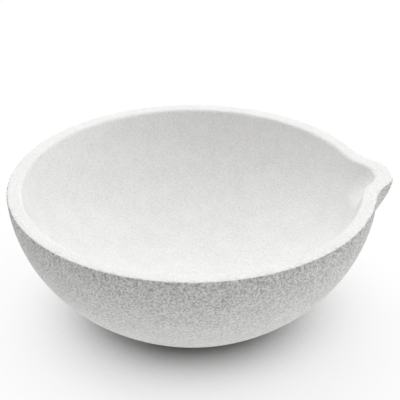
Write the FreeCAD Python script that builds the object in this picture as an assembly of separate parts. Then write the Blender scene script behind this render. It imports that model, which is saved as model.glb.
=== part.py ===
import FreeCAD, Part
import math
import os

# Foundry crucible: a shallow melting dish of fused silica, pressed in one piece, with a beak
# on its rim to pour from. The dish is a thick-walled bowl on a small flat foot.
# Millimetres, +Z up. The origin is the middle of the foot, and the beak points along +X.

# Bowl
RIM_RADIUS = 50.1          # outside of the wall at the rim, before its edge is rounded
HEIGHT = 39.0              # foot to rim
FOOT_RADIUS = 18.0         # the flat that the dish stands on, before its edge is rounded
WALL = 4.3                 # wall at the rim
FLOOR = 6.0                # thickness at the middle of the floor
RIM_BAND = 2.0             # straight drafted band under the rim, inside and outside
RIM_DRAFT = 6.0            # lean of that band, in degrees from upright
BOWL_TURN = 50.0           # lean, in degrees, at which the wall's arc meets the ball of the floor

# Beak, outside: a wedge in plan, whose tip falls away below the rim along the keel
BEAK_PROJECTION = 5.0      # tip, past the rim's radius
BEAK_TIP_FLAT = 2.8        # flat of the tip, across the beak
BEAK_TIP_RADIUS = 7.8      # corner between that flat and each flank
BEAK_FLANK = 41.0          # angle, in degrees, of each flank to the beak's own axis
BEAK_LEAN = 12.0           # lean of the tip over the height of the rim's band, in degrees
BEAK_KEEL_RADIUS = 13.8    # arc by which the keel runs back into the bowl
BEAK_BLEND = 12.0          # hollow blend between the beak and the bowl

# Channel, inside the beak: the same form, hollow
CHANNEL_WALL = 4.9         # wall at the beak's tip
CHANNEL_TIP_FLAT = 1.0
CHANNEL_TIP_RADIUS = 6.3
CHANNEL_FLANK = 49.0
CHANNEL_LEAN = 14.0
CHANNEL_KEEL_RADIUS = 12.0
CHANNEL_BLEND = 10.0       # rounded shoulder between the channel and the cavity

# Rounded edges
RIM_OUTER_ROUND = 0.7
RIM_INNER_ROUND = 1.0
FOOT_ROUND = 3.0

KEEL_END = 80.0            # lean, in degrees, at which a keel stops, well inside the bowl
ROOT_SHARE = 0.5           # half width of a beak's root, hidden in its bowl, to the bowl's radius
NEAR = 1e-3                # how close counts as lying on a surface

UP = FreeCAD.Vector(0, 0, 1)
BAND_HEIGHT = HEIGHT - RIM_BAND


def on_section(radius, height):
    """A point of the bowl's section, which is drawn on the side away from the beak."""
    return FreeCAD.Vector(-radius, 0, height)


def outward(lean):
    """The direction in which a wall of this lean faces, within the section."""
    angle = math.radians(lean)
    return on_section(math.cos(angle), -math.sin(angle))


def tangent_arcs(shoulder, foot_radius, foot_height):
    """The wall's arc and the ball below it: both radii and the height of the ball's centre.

    The ball is centred on the axis and passes through the edge of the foot. The wall's arc
    starts at the shoulder with the band's draft and meets the ball, tangent, at BOWL_TURN.
    """
    draft, turn = math.radians(RIM_DRAFT), math.radians(BOWL_TURN)
    spread = math.cos(draft) - math.cos(turn)
    # the arc's radius and the centre's height are both linear in the ball's radius
    arc_at_zero = shoulder / spread
    arc_slope = -math.cos(turn) / spread
    fall = math.sin(turn) - math.sin(draft)
    centre_at_zero = BAND_HEIGHT - foot_height - arc_at_zero*fall
    centre_slope = math.sin(turn) - arc_slope*fall
    # ball**2 = foot_radius**2 + (centre_at_zero + centre_slope*ball)**2
    a = centre_slope**2 - 1
    b = centre_at_zero * centre_slope
    c = centre_at_zero**2 + foot_radius**2
    ball = (math.sqrt(b**2 - a*c) - b) / a
    centre = foot_height + centre_at_zero + centre_slope*ball
    return arc_at_zero + arc_slope*ball, ball, centre


def bowl(rim_radius, foot_radius, foot_height):
    """A solid bowl: foot, ball, wall's arc and drafted band, turned about the axis."""
    shoulder_radius = rim_radius - RIM_BAND*math.tan(math.radians(RIM_DRAFT))
    arc_radius, ball_radius, ball_height = tangent_arcs(shoulder_radius, foot_radius, foot_height)
    ball_centre = on_section(0, ball_height)
    shoulder = on_section(shoulder_radius, BAND_HEIGHT)
    arc_centre = shoulder - outward(RIM_DRAFT)*arc_radius
    foot_turn = math.degrees(math.acos(foot_radius / ball_radius))

    def on_arc(lean):
        return arc_centre + outward(lean)*arc_radius

    def on_ball(lean):
        return ball_centre + outward(lean)*ball_radius

    rim = on_section(rim_radius, HEIGHT)
    top = on_section(0, HEIGHT)
    bottom = on_section(0, foot_height)
    outline = [
        Part.LineSegment(top, rim),
        Part.LineSegment(rim, shoulder),
        Part.Arc(shoulder, on_arc((RIM_DRAFT + BOWL_TURN)/2), on_arc(BOWL_TURN)),
        Part.Arc(on_arc(BOWL_TURN), on_ball((BOWL_TURN + foot_turn)/2), on_ball(foot_turn)),
        Part.LineSegment(bottom, top),
    ]
    if foot_radius > 0:
        outline.insert(4, Part.LineSegment(on_ball(foot_turn), bottom))
    section = Part.Wire([curve.toShape() for curve in outline])
    return Part.Face(section).revolve(FreeCAD.Vector(), UP, 360)


def wedge_outline(reach, flat, tip_radius, flank, root_half_width):
    """The beak in plan, at the rim: a blunt tip, two rounded corners and two straight flanks."""
    angle = math.radians(flank)
    corner = FreeCAD.Vector(reach - tip_radius, flat/2, HEIGHT)
    middle = (math.pi/2 - angle) / 2
    tip = corner + FreeCAD.Vector(tip_radius, 0, 0)
    bend = corner + FreeCAD.Vector(math.cos(middle), math.sin(middle), 0)*tip_radius
    shoulder = corner + FreeCAD.Vector(math.sin(angle), math.cos(angle), 0)*tip_radius
    run_back = (root_half_width - shoulder.y) / math.tan(angle)
    root = FreeCAD.Vector(shoulder.x - run_back, root_half_width, HEIGHT)

    def mirrored(point):
        return FreeCAD.Vector(point.x, -point.y, point.z)

    outline = [
        Part.LineSegment(mirrored(tip), tip),
        Part.Arc(tip, bend, shoulder),
        Part.LineSegment(shoulder, root),
        Part.LineSegment(root, mirrored(root)),
        Part.LineSegment(mirrored(root), mirrored(shoulder)),
        Part.Arc(mirrored(shoulder), mirrored(bend), mirrored(tip)),
    ]
    return Part.Wire([curve.toShape() for curve in outline])


def keel(reach, lean, keel_radius):
    """The line that the tip follows: straight down the rim's band, then an arc into the bowl."""
    rim = FreeCAD.Vector(reach, 0, HEIGHT)
    band_end = FreeCAD.Vector(reach - RIM_BAND*math.tan(math.radians(lean)), 0, BAND_HEIGHT)

    def facing(angle):
        return FreeCAD.Vector(math.cos(math.radians(angle)), 0, -math.sin(math.radians(angle)))

    centre = band_end - facing(lean)*keel_radius
    middle = centre + facing((lean + KEEL_END)/2)*keel_radius
    end = centre + facing(KEEL_END)*keel_radius
    return Part.Wire([Part.LineSegment(rim, band_end).toShape(), Part.Arc(band_end, middle, end).toShape()])


def beak(outline, path):
    """The wedge outline carried down the keel, always level and pointing the same way."""
    sweep = Part.BRepOffsetAPI.MakePipeShell(path)
    sweep.setTrihedronMode(FreeCAD.Vector(), UP)
    sweep.add(outline)
    sweep.build()
    sweep.makeSolid()
    return sweep.shape()


def lies_on(edge, shape):
    """Whether an edge runs along the skin of a shape."""
    start, end = edge.ParameterRange
    samples = [edge.valueAt(start + (end - start)*share) for share in (0.1, 0.5, 0.9)]
    return all(Part.Vertex(point).distToShape(shape.Shells[0])[0] < NEAR for point in samples)


def below_rim(edge):
    return edge.CenterOfMass.z < HEIGHT - NEAR


def blended(bowl_form, beak_form, blend):
    """Bowl and beak as one solid, with the seam between them blended."""
    joined = bowl_form.fuse(beak_form).removeSplitter()
    below = [edge for edge in joined.Edges if below_rim(edge)]
    seam = [edge for edge in below if lies_on(edge, bowl_form) and lies_on(edge, beak_form)]
    return joined.makeFillet(blend, seam)


def level_face(shape, height):
    """The flat face that lies wholly at this height."""
    return next(face for face in shape.Faces
                if abs(face.CenterOfMass.z - height) < NEAR and isinstance(face.Surface, Part.Plane))


def outer_edges(face):
    return face.OuterWire.Edges


def inner_edges(face):
    holes = [wire for wire in face.Wires if not wire.isSame(face.OuterWire)]
    return holes[0].Edges


def outside():
    reach = RIM_RADIUS + BEAK_PROJECTION
    outline = wedge_outline(reach, BEAK_TIP_FLAT, BEAK_TIP_RADIUS, BEAK_FLANK, RIM_RADIUS*ROOT_SHARE)
    wedge = beak(outline, keel(reach, BEAK_LEAN, BEAK_KEEL_RADIUS))
    return blended(bowl(RIM_RADIUS, FOOT_RADIUS, 0), wedge, BEAK_BLEND)


def cavity():
    radius = RIM_RADIUS - WALL
    reach = RIM_RADIUS + BEAK_PROJECTION - CHANNEL_WALL
    outline = wedge_outline(reach, CHANNEL_TIP_FLAT, CHANNEL_TIP_RADIUS, CHANNEL_FLANK, radius*ROOT_SHARE)
    wedge = beak(outline, keel(reach, CHANNEL_LEAN, CHANNEL_KEEL_RADIUS))
    return blended(bowl(radius, 0, FLOOR), wedge, CHANNEL_BLEND)


def crucible():
    dish = outside().cut(cavity()).removeSplitter()
    dish = dish.makeFillet(RIM_OUTER_ROUND, outer_edges(level_face(dish, HEIGHT)))
    dish = dish.makeFillet(RIM_INNER_ROUND, inner_edges(level_face(dish, HEIGHT)))
    return dish.makeFillet(FOOT_ROUND, outer_edges(level_face(dish, 0)))


os.makedirs("parts", exist_ok=True)
dish = crucible()
print("one solid:", len(dish.Solids) == 1 and dish.isValid(), "- volume, cm3:", round(dish.Volume/1000, 2))
dish.exportStep("parts/crucible.step")
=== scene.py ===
# %% [markdown]
# # A melting dish of pressed silica
# A foundry crucible of this kind is a thick, shallow bowl that a jeweller melts metal in, with a
# torch. It is pressed in one piece from damp silica grit and then fired, so the whole object is
# one surface: a gritty wall outside, a flat rim, a finer cavity inside, and a beak to pour from.
# The frame holds the solid model in metres, with the foot on the ground and the beak along +X.

# %% Load the frame
import math

import bpy
import numpy as np
from mathutils import Matrix, Vector


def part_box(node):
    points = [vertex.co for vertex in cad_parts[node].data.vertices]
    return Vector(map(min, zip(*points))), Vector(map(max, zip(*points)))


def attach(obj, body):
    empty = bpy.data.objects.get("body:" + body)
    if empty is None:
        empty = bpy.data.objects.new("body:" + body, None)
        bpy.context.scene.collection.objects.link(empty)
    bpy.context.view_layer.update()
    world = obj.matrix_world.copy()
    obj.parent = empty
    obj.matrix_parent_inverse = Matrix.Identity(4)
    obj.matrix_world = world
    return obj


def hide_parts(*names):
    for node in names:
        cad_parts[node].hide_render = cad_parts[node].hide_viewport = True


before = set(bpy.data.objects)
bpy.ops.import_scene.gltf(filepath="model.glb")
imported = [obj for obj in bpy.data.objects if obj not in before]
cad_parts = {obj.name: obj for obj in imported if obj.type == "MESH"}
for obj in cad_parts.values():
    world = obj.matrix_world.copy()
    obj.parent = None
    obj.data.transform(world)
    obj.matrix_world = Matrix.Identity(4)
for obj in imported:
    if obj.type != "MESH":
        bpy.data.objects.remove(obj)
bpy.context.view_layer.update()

dish_low, dish_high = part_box("crucible")
print("dish, mm:", [round(1000*size, 1) for size in dish_high - dish_low])

# %% [markdown]
# ## Sizes
# The outside sizes come from the frame, so the dish follows the solid if that changes. The wall's
# own sizes are named here. The corners of the rim are worked out sharp and rounded later, and a
# drafted wall is widest just under the rounding, so each sharp corner lies a little further out.

# %% Sizes
MM = 0.001
HEIGHT = dish_high.z
WALL = 4.3*MM
FLOOR = 6.0*MM
FOOT_RADIUS = 18.0*MM
FOOT_ROUND = 1.2*MM
RIM_DRAFT = math.radians(3.0)
TIP_LEAN = math.radians(10.0)
OUTER_ROUND = 0.7*MM
INNER_ROUND = 1.0*MM
RIM_RADIUS = -dish_low.x + OUTER_ROUND*math.tan(RIM_DRAFT)
BEAK_REACH = dish_high.x + OUTER_ROUND*math.tan(TIP_LEAN)
print("rim radius, mm:", round(RIM_RADIUS/MM, 2), " height, mm:", round(HEIGHT/MM, 2))
print("beak reach, mm:", round(BEAK_REACH/MM, 2))

# %% [markdown]
# ## The section of the bowl
# A press tool gives the bowl a section that is close to part of an ellipse, both outside and in
# the cavity. An ellipse centred on the axis is fixed by three things: the rim's corner, the lean of
# the wall there, and the point where it reaches the foot or the floor. That is easier to read and
# to change than a hand-drawn curve.

# %% The ellipse of a wall
def wall_ellipse(rim_radius, foot_radius, foot_height):
    """Half width, half height and centre height of the ellipse r^2 + k (z - centre)^2 = half_width^2.

    It passes through the foot and the rim, and leans at the rim by the draft. The lean gives
    k (centre - rim height) = rim radius times tan(draft), and the two points then give k.
    """
    rise = HEIGHT - foot_height
    lean = rim_radius*math.tan(RIM_DRAFT)
    k = (rim_radius**2 - foot_radius**2 - 2*lean*rise)/rise**2
    centre = HEIGHT + lean/k
    half_width = math.sqrt(rim_radius**2 + k*(centre - HEIGHT)**2)
    return half_width, half_width/math.sqrt(k), centre


OUTSIDE = wall_ellipse(RIM_RADIUS, FOOT_RADIUS, 0)
CAVITY = wall_ellipse(RIM_RADIUS - WALL, 0, FLOOR)
print("outside ellipse, mm:", [round(size/MM, 2) for size in OUTSIDE])
print("cavity ellipse, mm:", [round(size/MM, 2) for size in CAVITY])

# %% [markdown]
# ## Rounded corners by formula
# A smooth minimum rounds a convex corner, and a smooth maximum fills a hollow one. Both work on
# whole arrays, so a blend between two forms needs no seam to be found or stitched.

# %% Smooth maximum and minimum
def smooth_max(a, b, blend):
    """The larger of a and b, with the step between them rounded over a width of blend."""
    share = np.clip(0.5 + 0.5*(b - a)/blend, 0, 1)
    return a*(1 - share) + b*share + blend*share*(1 - share)


def smooth_min(a, b, blend):
    """The smaller of a and b, rounded in the same way."""
    return -smooth_max(-a, -b, blend)


print("a step of 1 with a blend of 1, half way:", smooth_max(0.5, 0.5, 1))

# %% [markdown]
# ## The beak
# Seen from above, the beak is a wedge with a blunt tip. Its tip falls back under the rim along an
# arc, and a soft hollow joins it to the bowl. The channel inside it is the same form, hollow. All
# of this can be said as one radius for each direction and height: where a ray from the axis leaves
# the wedge.

# %% The beak as a radius
class Beak:
    """A wedge in plan: its reach at the rim, the angle of its flanks, and its roundings."""

    def __init__(self, reach, half_flat, flank, tip_blend, keel_radius, keel_rise, root_blend):
        self.reach, self.half_flat, self.flank = reach, half_flat, flank
        self.tip_blend, self.root_blend = tip_blend, root_blend
        self.keel_radius, self.keel_rise = keel_radius, keel_rise

    def tip(self, height):
        """The tip's distance from the axis, and whether this height is above the keel's end.

        The keel is an arc whose centre lies just above the rim.
        """
        depth = HEIGHT + self.keel_rise - height
        back = np.sqrt(np.clip(self.keel_radius**2 - depth**2, 0, None))
        back_at_rim = math.sqrt(self.keel_radius**2 - self.keel_rise**2)
        return self.reach + back - back_at_rim, depth < self.keel_radius

    def widen(self, bowl_radius, theta, height):
        """The bowl's radius, widened to where a ray at this angle leaves the wedge.

        The flat tip is left at tip / cos(theta). A flank is the straight line through the end of
        that flat, and is left at its distance from the axis over the cosine between ray and normal.
        """
        tip, above_end = self.tip(height)
        along, across = np.cos(theta), np.abs(np.sin(theta))
        flank_distance = math.sin(self.flank)*tip + math.cos(self.flank)*self.half_flat
        ahead = above_end & (along > 0.5)
        along = np.where(ahead, along, 1)
        flank = flank_distance/(math.sin(self.flank)*along + math.cos(self.flank)*across)
        wedge = smooth_min(tip/along, flank, self.tip_blend)
        return smooth_max(bowl_radius, np.where(ahead, wedge, 0), self.root_blend)


LIP_WALL = 4.9*MM
OUTER_BEAK = Beak(BEAK_REACH, half_flat=5.2*MM, flank=math.radians(37.5), tip_blend=3.5*MM,
                  keel_radius=14.8*MM, keel_rise=2.0*MM, root_blend=3.9*MM)
CHANNEL = Beak(BEAK_REACH - LIP_WALL, half_flat=2.85*MM, flank=math.radians(49), tip_blend=1.8*MM,
               keel_radius=12.5*MM, keel_rise=3.0*MM, root_blend=1.8*MM)
print("channel reach, mm:", round(CHANNEL.reach/MM, 2))

# %% [markdown]
# ## Rings
# The surface is a stack of rings. It starts at the middle of the foot, climbs the wall, crosses
# the rim, and goes down the cavity to the middle of the floor. Grit shows most along the rim, so
# the rings there are close together and finely divided; further away they are coarser.

# %% The two walls as curves
FINE, MIDDLE, COARSE = 0.28*MM, 0.65*MM, 1.2*MM
CURVE_SAMPLES = 4000


def spaced(curve, spacing):
    """Points along a curve of (radius, height), about `spacing(share)` apart, ends included."""
    step = np.hypot(*np.diff(curve, axis=0).T)
    along = np.concatenate([[0], np.cumsum(step)])
    places = [0.0]
    while places[-1] < along[-1]:
        places.append(places[-1] + spacing(places[-1]/along[-1]))
    places = np.array(places)*along[-1]/places[-1]
    return np.stack([np.interp(places, along, curve[:, k]) for k in (0, 1)], 1)


def wall_curve(ellipse, top, level):
    """The wall's section from the axis up to `top`: the ellipse, cut level by the foot or not."""
    half_width, half_height, centre = ellipse
    turn = np.linspace(math.pi/2, math.asin((centre - top)/half_height), CURVE_SAMPLES)
    height = centre - half_height*np.sin(turn)
    if level:
        height = smooth_max(height, 0.0, FOOT_ROUND)
    return np.stack([half_width*np.cos(turn), height], 1)


def wall_spacing(share):
    """Coarse near the axis, fine next to the rim, where share is 1."""
    return np.interp(share, [0, 0.5, 0.65, 0.9, 0.95, 1], [COARSE, COARSE, MIDDLE, MIDDLE, FINE, FINE])


outer_wall = spaced(wall_curve(OUTSIDE, HEIGHT - OUTER_ROUND, True), wall_spacing)
inner_wall = spaced(wall_curve(CAVITY, HEIGHT - INNER_ROUND, False), wall_spacing)[::-1]
print("rings outside:", len(outer_wall), " rings inside:", len(inner_wall))

# %% [markdown]
# Each ring is one row of a table: how far it is across the rim (0 outside, 1 inside), how much it
# is set in by the rounding of an edge, its height, and the height at which the beak is sampled for
# it. On the rim, the rings run between the two walls, so they follow the beak as well.

# %% The table of rings
def quarter(radius):
    """Angles of the rings in the rounding of an edge, without its two ends."""
    count = max(3, round(radius*math.pi/2/FINE))
    return np.arange(1, count)/count*math.pi/2


def rings(mix, inset, height, sample):
    """Rows of (mix, inset, height, height at which the beak is sampled)."""
    return np.stack(np.broadcast_arrays(mix, inset, height, sample), 1)


outer_turn, inner_turn = quarter(OUTER_ROUND), quarter(INNER_ROUND)[::-1]
outer_base, inner_base = HEIGHT - OUTER_ROUND, HEIGHT - INNER_ROUND
outer_inset = OUTER_ROUND*(1 - np.cos(outer_turn))
inner_inset = -INNER_ROUND*(1 - np.cos(inner_turn))
across = np.linspace(0, 1, round((WALL - OUTER_ROUND - INNER_ROUND)/FINE) + 1)
table = np.concatenate([
    rings(0.0, 0.0, outer_wall[:, 1], outer_wall[:, 1]),
    rings(0.0, outer_inset, outer_base + OUTER_ROUND*np.sin(outer_turn), outer_base),
    rings(across, OUTER_ROUND*(1 - across) - INNER_ROUND*across, HEIGHT, outer_base),
    rings(1.0, inner_inset, inner_base + INNER_ROUND*np.sin(inner_turn), inner_base),
    rings(1.0, 0.0, inner_wall[:, 1], inner_wall[:, 1]),
])
mix, inset, height, sample = table.T
bowl_outside = np.full(len(table), outer_wall[-1, 0])
bowl_outside[:len(outer_wall)] = outer_wall[:, 0]
bowl_inside = np.full(len(table), inner_wall[0, 0])
bowl_inside[-len(inner_wall):] = inner_wall[:, 0]
print("rings in all:", len(table))

# %% [markdown]
# A ring has points about as far apart as the rings are. The number of points only ever doubles or
# halves from one ring to the next, so that the strip between them stays closed and simple.

# %% Points on each ring
FEWEST, MOST = 36, 1152
bowl_radius = np.where(mix > 0.5, bowl_inside, bowl_outside)
section_step = np.hypot(np.diff((1 - mix)*bowl_outside + mix*bowl_inside - inset), np.diff(height))
gap = np.gradient(np.concatenate([[0], np.cumsum(section_step)]))
wanted = 2*math.pi*bowl_radius/np.maximum(gap, FINE)/FEWEST
most_doublings = round(math.log2(MOST/FEWEST))
doublings = np.clip(np.round(np.log2(np.maximum(wanted, 1))), 0, most_doublings).astype(int)
last = len(doublings) - 1
for before, after in [(k, k + 1) for k in range(last)] + [(k + 1, k) for k in reversed(range(last))]:
    doublings[after] = min(doublings[after], doublings[before] + 1)
counts = FEWEST*2**doublings
counts[[0, -1]] = 1
starts = np.concatenate([[0], np.cumsum(counts)])
print("points:", starts[-1], " points on a ring:", sorted(set(counts.tolist())))

# %% [markdown]
# ## The smooth dish
# Every point has an angle and a ring. Whole arrays of them go through the same few formulas.

# %% Smooth positions
ring = np.repeat(np.arange(len(table)), counts)
theta = 2*math.pi*(np.arange(starts[-1]) - starts[ring])/counts[ring]
channel_sample = np.where(mix[ring] > 0.5, sample[ring], inner_base)
outside = OUTER_BEAK.widen(bowl_outside[ring], theta, sample[ring])
inside = CHANNEL.widen(bowl_inside[ring], theta, channel_sample)
radius = (1 - mix[ring])*outside + mix[ring]*inside - inset[ring]
points = np.stack([radius*np.cos(theta), radius*np.sin(theta), height[ring]], 1)
print("points:", points.shape, " low, mm:", points.min(0)/MM, " high, mm:", points.max(0)/MM)

# %% [markdown]
# Strips of faces join each ring to the next. Where the count doubles, one edge of the coarse ring
# faces two of the fine ring, and three triangles fill the strip. A fan closes each end.

# %% Faces
def strip(low, high):
    """Triangles between two rings, facing outwards when the rings climb the outer wall.

    Equal counts give two triangles to each step. A doubled count gives three, and a ring of one
    point gives a fan.
    """
    a, b = counts[low], counts[high]
    fewer, more = (low, high) if a <= b else (high, low)
    here = np.arange(max(counts[fewer], counts[more] // 2) if counts[fewer] > 1 else counts[more])
    there = (here + 1) % len(here)
    p, q = starts[fewer] + here, starts[fewer] + there
    if counts[fewer] == 1:
        pole = np.full(len(here), starts[fewer])
        faces = np.stack([pole, starts[more] + there, starts[more] + here], 1)
    elif a == b:
        u, v = starts[more] + here, starts[more] + there
        faces = np.concatenate([np.stack([p, q, v], 1), np.stack([p, v, u], 1)])
    else:
        u, v, w = starts[more] + 2*here, starts[more] + 2*here + 1, starts[more] + 2*there
        faces = np.concatenate([np.stack([p, q, v], 1), np.stack([p, v, u], 1), np.stack([q, w, v], 1)])
    return faces if fewer == low else faces[:, ::-1]


faces = np.concatenate([strip(low, low + 1) for low in range(len(table) - 1)])
print("triangles:", len(faces))

# %% [markdown]
# Blender gives each point its normal on the smooth dish, which the grit is then pressed along.

# %% The smooth mesh
mesh = bpy.data.meshes.new("dish")
mesh.from_pydata(points, [], faces)
mesh.validate()
mesh.update()
normals = np.empty(3*len(points))
mesh.vertex_normals.foreach_get("vector", normals)
normals = normals.reshape(-1, 3)
print("mesh points:", len(mesh.vertices), " faces:", len(mesh.polygons))

# %% [markdown]
# ## Noise for a gritty surface
# Two kinds of noise cover the wear of a pressed grit body. Gradient noise gives soft lumps and
# waves, and the distance to scattered points gives pits. Both hash whole numbers to random ones,
# so the same place always gets the same value and nothing has to be stored.

# %% Noise
CELL_PRIMES, SEED_PRIME = (73856093, 19349663, 83492791), 2654435761
HASH_ROUNDS = ((16, 0x45D9F3B), (15, 0x2C1B3C6D), (16, 0x297A2D39))
WORD = 0xFFFFFFFF


def hashed(cell, seed):
    """A random number from 0 to 1 for each whole-number cell: its digits mixed by multiplication."""
    x, y, z = (cell.astype(np.int64)).T
    value = (x*CELL_PRIMES[0] ^ y*CELL_PRIMES[1] ^ z*CELL_PRIMES[2] ^ seed*SEED_PRIME) & WORD
    for shift, factor in HASH_ROUNDS:
        value = ((value ^ (value >> shift))*factor) & WORD
    return (value ^ (value >> 16))/WORD


def lumps(place, size, seed):
    """Gradient noise, about -1 to 1: each corner of a cube has a slope, blended by a smooth step."""
    scaled = place/size
    cell = np.floor(scaled)
    inside_cell = scaled - cell
    fade = inside_cell**3*(inside_cell*(6*inside_cell - 15) + 10)
    total = np.zeros(len(place))
    for corner in np.ndindex(2, 2, 2):
        at = cell + corner
        slope = np.stack([hashed(at, 3*seed + k) for k in range(3)], 1)*2 - 1
        weight = np.prod(np.where(corner, fade, 1 - fade), axis=1)
        total += weight*np.sum(slope*(inside_cell - corner), axis=1)
    return 1.6*total


def pits(place, size, seed):
    """Distance to the nearest of the points scattered one to a cell, in cells."""
    scaled = place/size
    cell = np.floor(scaled)
    nearest = np.full(len(place), 9.0)
    for step in np.ndindex(3, 3, 3):
        at = cell + np.array(step) - 1
        centre = at + np.stack([hashed(at, 3*seed + k) for k in range(3)], 1)
        nearest = np.minimum(nearest, np.sum((scaled - centre)**2, axis=1))
    return np.sqrt(nearest)


sample_lumps = lumps(points, 1.3*MM, 1)
print("noise range:", round(float(sample_lumps.min()), 2), round(float(sample_lumps.max()), 2))

# %% [markdown]
# ## Where the surface is worn
# The outer edge of the rim is where the press leaves least grit, so it crumbles: small bites out
# of the edge and pits under it. The side towards -Y is the more worn one. Each mask is a smooth
# bell over the distance from the edge, so that no wear begins or ends in a line.

# %% Masks for the wear
def bell(distance, width):
    """1 at distance 0, falling off smoothly over the width."""
    return np.exp(-(distance/width)**2)


GRITTY_BAND = 9*MM
NICK_PLACE, NICK_WIDTH = np.array((52.3*MM, -7.0*MM, HEIGHT)), 1.0*MM
on_wall = mix[ring] == 0

# how far a point is from the rim's outer edge: down the wall, or in over the rim and the cavity
run = np.where(on_wall, HEIGHT - height[ring] + inset[ring], OUTER_ROUND + mix[ring]*WALL)
near_rim = np.clip(1 - run/GRITTY_BAND, 0, 1)
worn_side = np.clip(0.55 - 0.9*np.sin(theta), 0.25, 1)
edge = bell(run - 0.6*MM, 0.7*MM)*worn_side
under_edge = bell(run - 1.7*MM, 1.3*MM)*on_wall*worn_side
nick = bell(np.linalg.norm((points - NICK_PLACE)*(1, 1, 0.8), axis=1), NICK_WIDTH)
print("points with a worn edge:", int((edge > 0.1).sum()), " in the nick:", int((nick > 0.1).sum()))

# %% [markdown]
# ## Grit, crumbled edge and nick
# The walls also have a slow waviness. One bite out of the beak's shoulder is a knock from use.
# Everything is pressed inwards, so the dish keeps its size.

# %% Press the relief into the surface
BITE, DIMPLE, WAVE, NICK = 0.42*MM, 0.30*MM, 0.08*MM, 0.8*MM
GRIT, RIM_GRIT = 0.04*MM, 0.06*MM
DIMPLE_RADIUS = 0.40

bites = np.clip(lumps(points, 1.1*MM, 1) + 0.5*lumps(points, 0.6*MM, 2), 0, None)
dimples = np.clip(DIMPLE_RADIUS - pits(points, 1.3*MM, 3), 0, None)/DIMPLE_RADIUS
waves = 0.5 + 0.5*lumps(points, 13*MM, 4)
grit = 0.5 + 0.5*lumps(points, 0.75*MM, 6)
knock = np.clip(0.5 + 0.6*lumps(points, 0.9*MM, 7), 0, None)
relief = edge*bites*BITE + under_edge*dimples*DIMPLE + waves*WAVE
relief += grit*(GRIT + RIM_GRIT*near_rim) + nick*knock*NICK
points = points - normals*np.clip(relief, 0, None)[:, None]
points[:, 2] = np.clip(points[:, 2], 0, HEIGHT)
mesh.vertices.foreach_set("co", points.ravel())
mesh.polygons.foreach_set("use_smooth", np.ones(len(mesh.polygons), bool))
mesh.update()
dish = bpy.data.objects.new("dish", mesh)
bpy.context.scene.collection.objects.link(dish)
print("deepest relief, mm:", round(float(relief.max())/MM, 2))

# %% [markdown]
# ## Building materials from nodes
# Both finishes and the table are small node graphs. A few helpers keep each step of a graph on one
# line: a node with its settings, a change of range, a product and a blend of two colours.

# %% Helpers for nodes
def add(tree, kind, **values):
    """Adds a node and sets its inputs, or its own settings, by name."""
    node = tree.nodes.new(kind)
    for name, value in values.items():
        key = name.replace("_", " ")
        if key in node.inputs:
            node.inputs[key].default_value = value
        else:
            setattr(node, name, value)
    return node


def feed(tree, socket, value):
    """Links a socket to another one, or sets it to a number or a colour."""
    if isinstance(value, bpy.types.NodeSocket):
        tree.links.new(value, socket)
    else:
        socket.default_value = value


def map_range(tree, value, source, goal=(0.0, 1.0), **settings):
    """The value, carried from the range `source` to the range `goal`."""
    node = add(tree, "ShaderNodeMapRange", **settings)
    feed(tree, node.inputs["Value"], value)
    for name, limit in zip(("From Min", "From Max", "To Min", "To Max"), (*source, *goal)):
        node.inputs[name].default_value = limit
    return node.outputs[0]


def maths(tree, operation, first, second):
    """The result of a Math node on two values."""
    node = add(tree, "ShaderNodeMath", operation=operation)
    feed(tree, node.inputs[0], first)
    feed(tree, node.inputs[1], second)
    return node.outputs[0]


def blended(tree, share, first, second):
    """The first colour where the share is 0, the second where it is 1."""
    node = add(tree, "ShaderNodeMix", data_type="RGBA")
    feed(tree, node.inputs["Factor"], share)
    feed(tree, node.inputs[6], first)
    feed(tree, node.inputs[7], second)
    return node.outputs[2]


print("helpers:", [helper.__name__ for helper in (add, feed, map_range, maths, blended)])

# %% [markdown]
# ## Grain
# Fired silica grit is nearly white and matt. Its grain is finer than the mesh, so it is a bump in
# the material. One node group holds the grain for both finishes. It gives a height for the bump,
# and a colour that runs from dark to pale with the grain, with a rare dark grain. It also darkens the
# wall towards the rim. A real dish has no such colour: it stands in for the shade that the upper wall
# has in a studio and that these lamps don't give, so under other light the wall looks too dark there.

# %% The grit group
# painted shade on the wall: the heights over which it grows towards the rim, and its colour
PAINTED_SHADE_HEIGHTS = (0.008, 0.038)
PAINTED_SHADE_COLOUR, SPECK_COLOUR = (0, 0, 0, 1), (0.25, 0.24, 0.22, 1)

grit_group = bpy.data.node_groups.new("grit", "ShaderNodeTree")
for name, kind in (("Grain Size", "Float"), ("Painted Shade", "Float"), ("Pale", "Color"), ("Dark", "Color")):
    grit_group.interface.new_socket(name=name, in_out="INPUT", socket_type="NodeSocket" + kind)
for name, kind in (("Height", "Float"), ("Colour", "Color")):
    grit_group.interface.new_socket(name=name, in_out="OUTPUT", socket_type="NodeSocket" + kind)
given = add(grit_group, "NodeGroupInput").outputs
out = add(grit_group, "NodeGroupOutput").inputs
place = add(grit_group, "ShaderNodeTexCoord").outputs["Object"]
fine_noise = add(grit_group, "ShaderNodeTexNoise", Detail=1.5, Roughness=0.65)
cloud_noise = add(grit_group, "ShaderNodeTexNoise", Scale=160.0, Detail=3.0, Roughness=0.65)
speck_cells = add(grit_group, "ShaderNodeTexVoronoi", Scale=330.0)
for node in (fine_noise, cloud_noise, speck_cells):
    grit_group.links.new(place, node.inputs["Vector"])
grit_group.links.new(given["Grain Size"], fine_noise.inputs["Scale"])
grain = fine_noise.outputs[0]
grit_group.links.new(grain, out["Height"])

# the tone is mostly the grain, and a little of the cloud
cloudy = add(grit_group, "ShaderNodeMix", Factor=0.25)
grit_group.links.new(grain, cloudy.inputs[2])
grit_group.links.new(cloud_noise.outputs[0], cloudy.inputs[3])
tone = map_range(grit_group, cloudy.outputs[0], (0.28, 0.62))
clean = blended(grit_group, tone, given["Dark"], given["Pale"])
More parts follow.
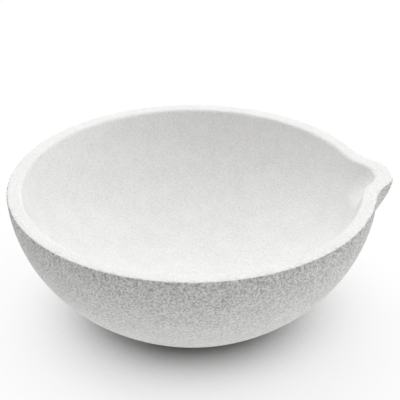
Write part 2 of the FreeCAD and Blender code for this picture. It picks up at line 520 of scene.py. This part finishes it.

# painted shade: it grows towards the rim, and is strongest in the low grains
axes = add(grit_group, "ShaderNodeSeparateXYZ")
grit_group.links.new(place, axes.inputs[0])
rise = map_range(grit_group, axes.outputs["Z"], PAINTED_SHADE_HEIGHTS)
low_grain = map_range(grit_group, grain, (0.32, 0.60), (1.0, 0.4))
shade_weight = maths(grit_group, "MULTIPLY", rise, low_grain)
painted_shade_amount = maths(grit_group, "MULTIPLY", shade_weight, given["Painted Shade"])
with_painted_shade = blended(grit_group, painted_shade_amount, clean, PAINTED_SHADE_COLOUR)

# a rare dark grain is the middle of a cell
middle = map_range(grit_group, speck_cells.outputs["Distance"], (0.07, 0.03), (0.0, 0.35),
                   interpolation_type="SMOOTHSTEP")
grit_group.links.new(blended(grit_group, middle, with_painted_shade, SPECK_COLOUR), out["Colour"])
print("grit group, nodes:", len(grit_group.nodes))

# %% [markdown]
# ## Two finishes
# The outer wall shows its grains one by one, darker between them. Its colours are darker overall than
# those of the rim and the cavity: partly its coarser grain, partly painted shade. The rim and the cavity
# were smoothed by the press, so they are more even. The change from one to the other lies in the rounding
# of the outer edge.

# %% The two finishes
def fired_silica(name, pale, dark, grain_size, painted_shade, depth):
    """Matt silica: grain that runs from dark to pale, and is a bump of this depth in metres."""
    material = bpy.data.materials.new(name)
    material.use_nodes = True
    tree = material.node_tree
    shader = tree.nodes["Principled BSDF"]
    shader.inputs["Roughness"].default_value = 0.9
    shader.inputs["Specular IOR Level"].default_value = 0.2
    grit_node = add(tree, "ShaderNodeGroup")
    grit_node.node_tree = grit_group
    grit_node.inputs["Grain Size"].default_value = grain_size
    grit_node.inputs["Painted Shade"].default_value = painted_shade
    grit_node.inputs["Pale"].default_value = (*pale, 1)
    grit_node.inputs["Dark"].default_value = (*dark, 1)
    bump = add(tree, "ShaderNodeBump", Strength=1.0, Distance=depth)
    tree.links.new(grit_node.outputs["Height"], bump.inputs["Height"])
    tree.links.new(bump.outputs["Normal"], shader.inputs["Normal"])
    tree.links.new(grit_node.outputs["Colour"], shader.inputs["Base Color"])
    return material


# the wall's finish gets painted shade towards the rim, the cavity's none
# the wall's pale and dark are darker than the cavity's: partly coarser grain, partly painted shade
mesh.materials.append(fired_silica("pressed wall with painted shade", pale=(0.90, 0.895, 0.88), dark=(0.66, 0.655, 0.64),
                                   grain_size=1700, painted_shade=0.50, depth=0.0005))
mesh.materials.append(fired_silica("smooth cavity", pale=(0.95, 0.947, 0.94), dark=(0.81, 0.806, 0.795),
                                   grain_size=2000, painted_shade=0.0, depth=0.0003))
face_ring = ring[faces].max(1)
smoothed = (mix[face_ring] > 0) | (inset[face_ring] > 0.6*OUTER_ROUND)
mesh.polygons.foreach_set("material_index", smoothed.astype(np.int32))
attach(dish, "root")
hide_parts("crucible")
print("finishes:", [material.name for material in mesh.materials])

# %% [markdown]
# ## Table
# The dish stands on white paper. Part of the paper's surface is plain matt white, and takes the lamps'
# own shadow.
# The rest is painted light: it glows white by itself, and fades where the dish hides the open sky from
# it, a painted shadow as soft and round as that of a large studio light. The glow reaches the dish from
# below as well.

# %% Table
TABLE_HALF = 3.0
# how much of the table is painted glow, and the curve of its painted shadow
PAINTED_GLOW_SHARE = 0.7
PAINTED_SHADOW_CURVE = 2.15

h = TABLE_HALF
floor_mesh = bpy.data.meshes.new("table")
floor_mesh.from_pydata([(-h, -h, 0), (h, -h, 0), (h, h, 0), (-h, h, 0)], [], [(0, 1, 2, 3)])
floor = bpy.data.objects.new("table", floor_mesh)
bpy.context.scene.collection.objects.link(floor)
paper = bpy.data.materials.new("white paper with painted glow and shadow")
paper.use_nodes = True
tree = paper.node_tree
matt = tree.nodes["Principled BSDF"]
matt.inputs["Base Color"].default_value = (0.98, 0.98, 0.98, 1)
matt.inputs["Roughness"].default_value = 1
matt.inputs["Specular IOR Level"].default_value = 0
# painted shadow: the glow fades where the dish hides the open sky, whatever the lamps do
open_sky = add(tree, "ShaderNodeAmbientOcclusion", samples=16, Distance=1.0)
hidden = map_range(tree, open_sky.outputs["AO"], (0.165, 0.67), (1.0, 0.0))
painted_shadow = maths(tree, "POWER", hidden, PAINTED_SHADOW_CURVE)
# painted light: a white glow that no lamp gives, which also lights the dish from below
white = add(tree, "ShaderNodeEmission", Color=(1.0, 1.0, 1.0, 1))
tree.links.new(maths(tree, "SUBTRACT", 1.0, painted_shadow), white.inputs["Strength"])
surface = add(tree, "ShaderNodeMixShader", Fac=PAINTED_GLOW_SHARE)
tree.links.new(matt.outputs[0], surface.inputs[1])
tree.links.new(white.outputs[0], surface.inputs[2])
tree.links.new(surface.outputs[0], tree.nodes["Material Output"].inputs["Surface"])
floor_mesh.materials.append(paper)
print("table, m:", tuple(floor.dimensions))

# %% [markdown]
# ## Lamps and world
# Three broad, soft lamps stand for studio softboxes: one overhead, one high behind, and one low
# beside the beak. They leave the near side in shade. The world fills in from all round, and shows
# white to the camera, in reflections and through glass.

# %% Lamps
def sun(name, azimuth, elevation, strength, width):
    """A lamp far away, towards azimuth (0 along +X, 90 along +Y) and elevation, in degrees."""
    lamp = bpy.data.lights.new(name, "SUN")
    lamp.energy = strength
    lamp.angle = math.radians(width)
    lamp_object = bpy.data.objects.new(name, lamp)
    a, e = math.radians(azimuth), math.radians(elevation)
    towards = Vector((math.cos(a)*math.cos(e), math.sin(a)*math.cos(e), math.sin(e)))
    lamp_object.rotation_mode = "QUATERNION"
    lamp_object.rotation_quaternion = towards.to_track_quat("Z", "Y")
    bpy.context.scene.collection.objects.link(lamp_object)


sun("overhead", azimuth=0, elevation=90, strength=0.78, width=60)
sun("back", azimuth=108, elevation=54, strength=1.11, width=60)
sun("beak side", azimuth=0, elevation=16, strength=1.06, width=60)

FILL = 0.40
world = bpy.data.worlds.new("world")
bpy.context.scene.world = world
world.use_nodes = True
tree = world.node_tree
background = tree.nodes["Background"]
background.inputs["Color"].default_value = (1, 1, 1, 1)
rays = add(tree, "ShaderNodeLightPath").outputs
seen = maths(tree, "MAXIMUM", rays["Is Camera Ray"], rays["Is Glossy Ray"])
seen = maths(tree, "MAXIMUM", seen, rays["Is Transmission Ray"])
tree.links.new(maths(tree, "MAXIMUM", seen, FILL), background.inputs["Strength"])
print("lamps:", [light.name for light in bpy.data.lights])

# %% [markdown]
# ## Camera
# A long lens stands in front and above, level, and aims a little beside the middle of the rim.

# %% Camera
LENS, SENSOR_WIDTH = 122.1, 36
DISTANCE = 0.36727
AZIMUTH, ELEVATION = math.radians(-96.14), math.radians(28.4546)
AIM_RIGHT, AIM_DOWN = 0.002108, 0.004716

camera_data = bpy.data.cameras.new("camera")
camera_data.lens = LENS
camera_data.sensor_width = SENSOR_WIDTH
camera_data.clip_start, camera_data.clip_end = 0.01, 20
camera = bpy.data.objects.new("camera", camera_data)
bpy.context.scene.collection.objects.link(camera)
bpy.context.scene.camera = camera
rim_centre = Vector((0, 0, HEIGHT))
level = Vector((math.cos(AZIMUTH), math.sin(AZIMUTH), 0))
direction = math.cos(ELEVATION)*level + math.sin(ELEVATION)*Vector((0, 0, 1))
camera.location = rim_centre + DISTANCE*direction
right = Vector((-math.sin(AZIMUTH), math.cos(AZIMUTH), 0))
aim = rim_centre + AIM_RIGHT*right - AIM_DOWN*direction.cross(right)
towards_camera = (camera.location - aim).normalized()
side = Vector((0, 0, 1)).cross(towards_camera).normalized()
turn = Matrix((side, towards_camera.cross(side), towards_camera)).transposed().to_4x4()
camera.matrix_world = Matrix.Translation(camera.location) @ turn
bpy.context.scene.view_settings.view_transform = "Standard"
print("camera at, mm:", [round(c/MM, 1) for c in camera.location])
